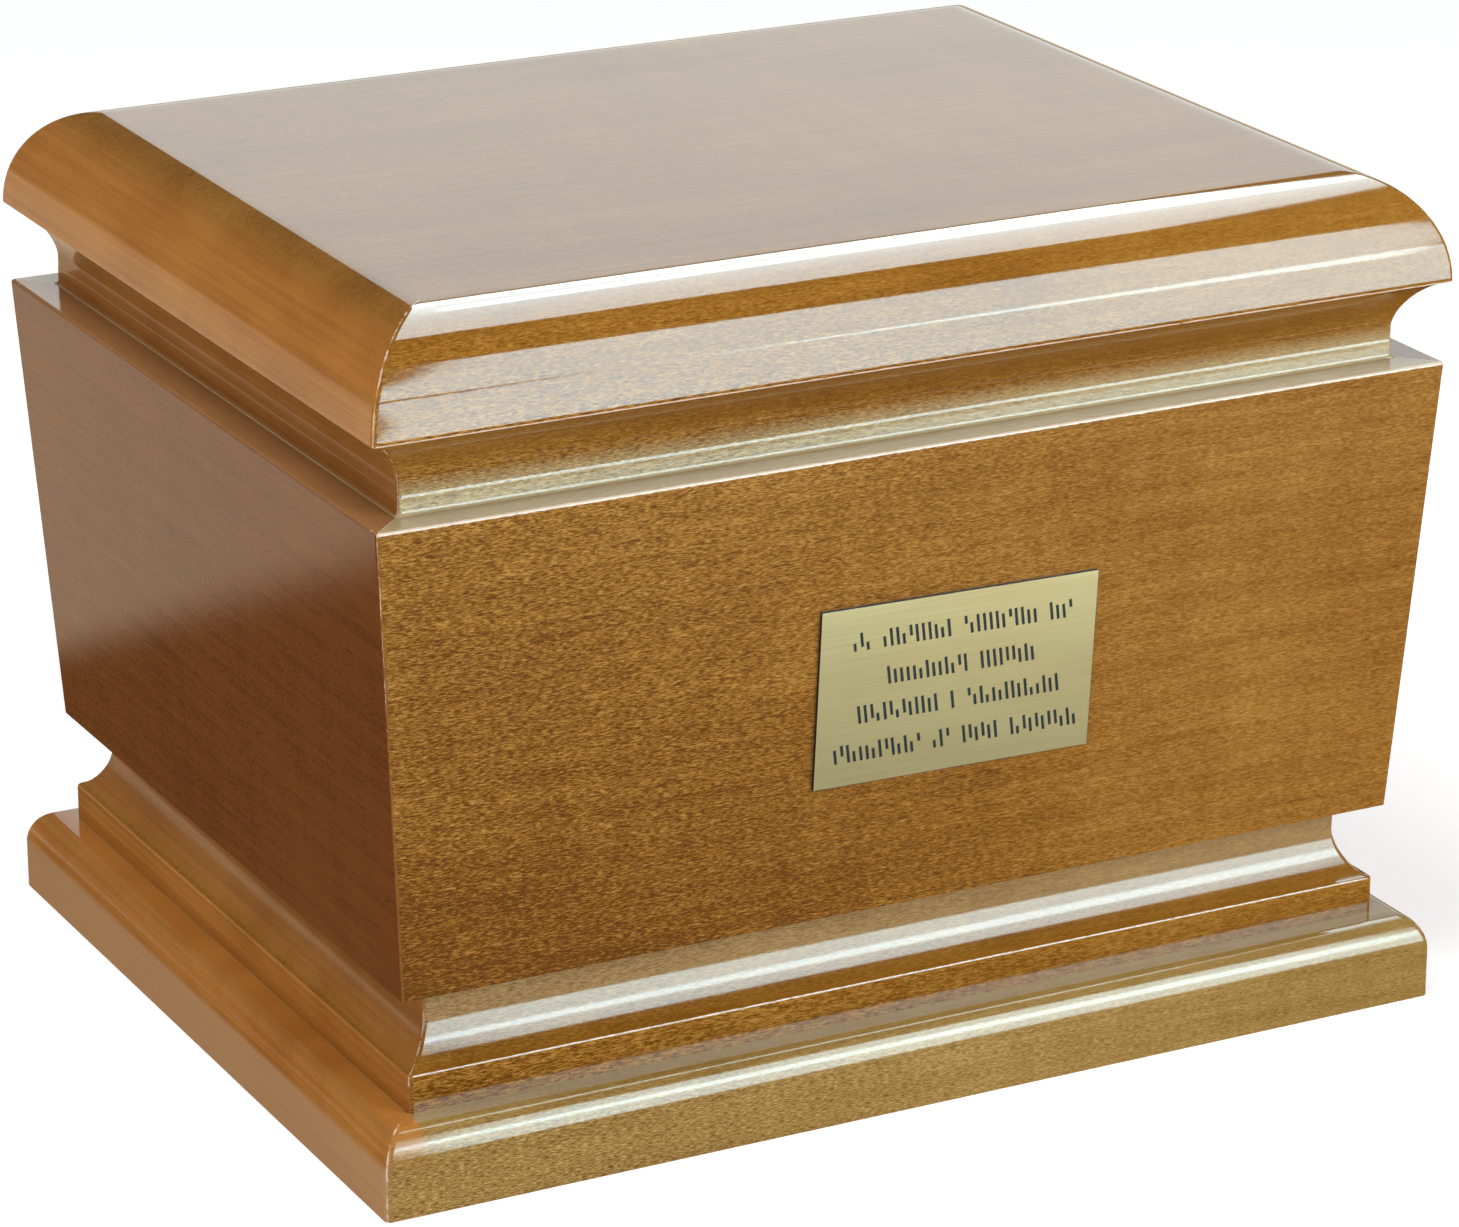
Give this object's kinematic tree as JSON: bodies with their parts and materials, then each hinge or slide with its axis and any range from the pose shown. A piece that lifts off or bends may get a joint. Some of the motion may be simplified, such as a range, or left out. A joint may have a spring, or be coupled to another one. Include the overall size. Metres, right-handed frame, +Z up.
{
  "type": "cremation urn box",
  "caption": "Hollow wooden box with leaning sides on a coved base and plinth, closed by a moulded lift-off lid; holds cremated remains.",
  "frame": {"origin": "middle of the plinth's underside, on the surface that the urn stands on", "axes": "+Z up, +X along the long front to the right, -Y out of the front that carries the name plate"},
  "size_m": [0.292, 0.236, 0.216],
  "materials": {
    "plinth_wood": "stained and clear lacquered, glossy",
    "moulding_wood": "stained and clear lacquered, glossy",
    "inside_wood": "sealed, dull",
    "box_wood": "stained and clear lacquered, glossy",
    "lid_wood": "stained and clear lacquered, glossy",
    "plate_brass": "brushed, clear lacquered"
  },
  "bodies": {
    "root": {"plinth": "plinth_wood", "base_moulding": "moulding_wood", "box_floor": "inside_wood", "front_board": "box_wood", "back_board": "box_wood", "left_board": "box_wood", "right_board": "box_wood", "lid": "lid_wood", "name_plate": "plate_brass"}
  },
  "joints": []
}
